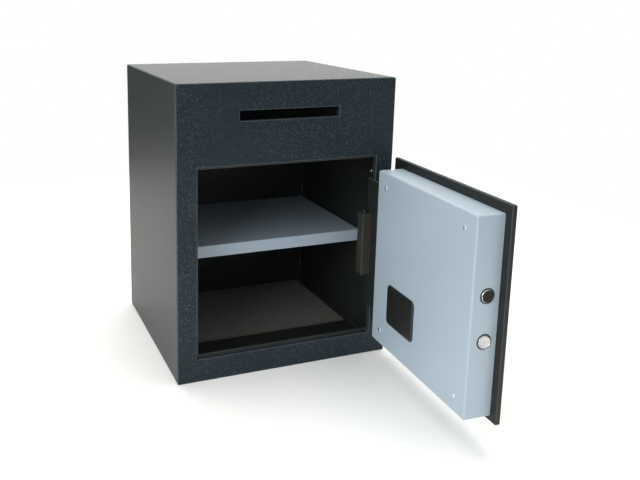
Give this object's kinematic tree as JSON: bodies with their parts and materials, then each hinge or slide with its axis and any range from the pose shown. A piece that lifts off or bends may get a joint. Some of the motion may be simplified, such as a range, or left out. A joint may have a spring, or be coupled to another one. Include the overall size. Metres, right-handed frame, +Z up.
{
  "type": "book drop box",
  "caption": "Free-standing steel drop box with a slot in the header, a flush hinged locking door, a shelf and a felt floor mat inside.",
  "frame": {"origin": "centre of the cabinet's base, on the surface it stands on", "axes": "+Z up, -Y out of the front, +X to the right seen from the front, so the door hinges at +X"},
  "size_m": [0.3711, 0.6191, 0.45],
  "materials": {
    "body_paint": "dark charcoal, fine-textured powder coat",
    "front_paint": "dark blue-grey, fine hammered powder coat",
    "door_paint": "near-black fine-textured powder coat",
    "liner_paint": "pale blue-grey satin paint",
    "block_steel": "brown-grey primer on steel",
    "bare_steel": "plain zinc-plated steel",
    "bolt_chrome": "polished plating",
    "black_plastic": "moulded black plastic, light texture",
    "key_plastic": "dark grey moulded keys",
    "lens": "clear tinted lens",
    "bearing_brass": "machined brass",
    "cell_wrap": "plain printed-film wrap without marks",
    "board": "green circuit board",
    "felt": "dark grey-brown needle felt"
  },
  "bodies": {
    "cabinet": {"cabinet_wrap": "body_paint", "back_panel": "body_paint", "front_frame": "front_paint", "door_stop": "body_paint", "bolt_strike": "body_paint", "slot_chute": "body_paint", "anti_fish_baffle": "body_paint", "shelf": "liner_paint", "shelf_pegs": "bare_steel", "floor_mat": "felt", "hinge_brackets": "body_paint", "hinge_pin": "bare_steel", "hinge_washers": "bearing_brass", "wall_screw": "bolt_chrome"},
    "door": {"door_plate": "door_paint", "door_liner": "liner_paint", "liner_screws": "bolt_chrome", "liner_pillars": "bare_steel", "hinge_leaf": "body_paint", "hinge_block": "block_steel", "hinge_block_rod": "block_steel", "battery_tray": "black_plastic", "battery_cells": "cell_wrap", "battery_contacts": "bare_steel", "bolt_bushes": "black_plastic", "lock_chassis": "body_paint", "solenoid_body": "bare_steel", "circuit_board": "board", "knob_bush": "bearing_brass", "override_cylinder": "bare_steel", "keypad_housing": "black_plastic", "indicator_lenses": "lens"},
    "boltwork": {"bolt_carriage": "bare_steel", "locking_bolts": "bolt_chrome"},
    "knob": {"knob": "black_plastic", "knob_spindle": "bare_steel", "knob_crank": "bare_steel"},
    "plunger": {"solenoid_plunger": "bare_steel"},
    "override": {"override_plug": "bearing_brass"},
    "battery_cover": {"battery_cover": "black_plastic"},
    "key_1": {"key_1": "key_plastic"},
    "key_2": {"key_2": "key_plastic"},
    "key_3": {"key_3": "key_plastic"},
    "key_4": {"key_4": "key_plastic"},
    "key_5": {"key_5": "key_plastic"},
    "key_6": {"key_6": "key_plastic"},
    "key_7": {"key_7": "key_plastic"},
    "key_8": {"key_8": "key_plastic"},
    "key_9": {"key_9": "key_plastic"},
    "key_clear": {"key_clear": "key_plastic"},
    "key_0": {"key_0": "key_plastic"},
    "key_enter": {"key_enter": "key_plastic"}
  },
  "joints": [
    {"name": "door_hinge", "type": "hinge", "parent": "cabinet", "child": "door", "pos_m": [0.1675, -0.1474, 0.187], "axis": [0, 0, 1], "range_deg": [-87, 8]},
    {"name": "bolt_throw", "type": "slide", "parent": "door", "child": "boltwork", "axis": [-0.0523, -0.9986, 0], "range_m": [0, 0.018]},
    {"name": "knob_turn", "type": "hinge", "parent": "door", "child": "knob", "pos_m": [0.16792, -0.39927, 0.1793], "axis": [0.9986, -0.0523, 0], "range_deg": [0, 90]},
    {"name": "plunger_slide", "type": "slide", "parent": "door", "child": "plunger", "axis": [0, 0, -1], "range_m": [0, 0.008]},
    {"name": "override_turn", "type": "hinge", "parent": "door", "child": "override", "pos_m": [0.16792, -0.39927, 0.1173], "axis": [0.9986, -0.0523, 0], "range_deg": [0, 90]},
    {"name": "battery_cover_pull", "type": "slide", "parent": "door", "child": "battery_cover", "axis": [-0.9986, 0.0523, 0], "range_m": [0, 0.03]},
    {"name": "key_1_press", "type": "slide", "parent": "door", "child": "key_1", "axis": [-0.9986, 0.0523, 0], "range_m": [0, 0.0015], "stiffness_N_per_m": 300},
    {"name": "key_2_press", "type": "slide", "parent": "door", "child": "key_2", "axis": [-0.9986, 0.0523, 0], "range_m": [0, 0.0015], "stiffness_N_per_m": 300},
    {"name": "key_3_press", "type": "slide", "parent": "door", "child": "key_3", "axis": [-0.9986, 0.0523, 0], "range_m": [0, 0.0015], "stiffness_N_per_m": 300},
    {"name": "key_4_press", "type": "slide", "parent": "door", "child": "key_4", "axis": [-0.9986, 0.0523, 0], "range_m": [0, 0.0015], "stiffness_N_per_m": 300},
    {"name": "key_5_press", "type": "slide", "parent": "door", "child": "key_5", "axis": [-0.9986, 0.0523, 0], "range_m": [0, 0.0015], "stiffness_N_per_m": 300},
    {"name": "key_6_press", "type": "slide", "parent": "door", "child": "key_6", "axis": [-0.9986, 0.0523, 0], "range_m": [0, 0.0015], "stiffness_N_per_m": 300},
    {"name": "key_7_press", "type": "slide", "parent": "door", "child": "key_7", "axis": [-0.9986, 0.0523, 0], "range_m": [0, 0.0015], "stiffness_N_per_m": 300},
    {"name": "key_8_press", "type": "slide", "parent": "door", "child": "key_8", "axis": [-0.9986, 0.0523, 0], "range_m": [0, 0.0015], "stiffness_N_per_m": 300},
    {"name": "key_9_press", "type": "slide", "parent": "door", "child": "key_9", "axis": [-0.9986, 0.0523, 0], "range_m": [0, 0.0015], "stiffness_N_per_m": 300},
    {"name": "key_clear_press", "type": "slide", "parent": "door", "child": "key_clear", "axis": [-0.9986, 0.0523, 0], "range_m": [0, 0.0015], "stiffness_N_per_m": 300},
    {"name": "key_0_press", "type": "slide", "parent": "door", "child": "key_0", "axis": [-0.9986, 0.0523, 0], "range_m": [0, 0.0015], "stiffness_N_per_m": 300},
    {"name": "key_enter_press", "type": "slide", "parent": "door", "child": "key_enter", "axis": [-0.9986, 0.0523, 0], "range_m": [0, 0.0015], "stiffness_N_per_m": 300}
  ],
  "couplings": [
    {"joint": "knob_turn", "follows": "bolt_throw", "rad_per_m": 87.26}
  ]
}
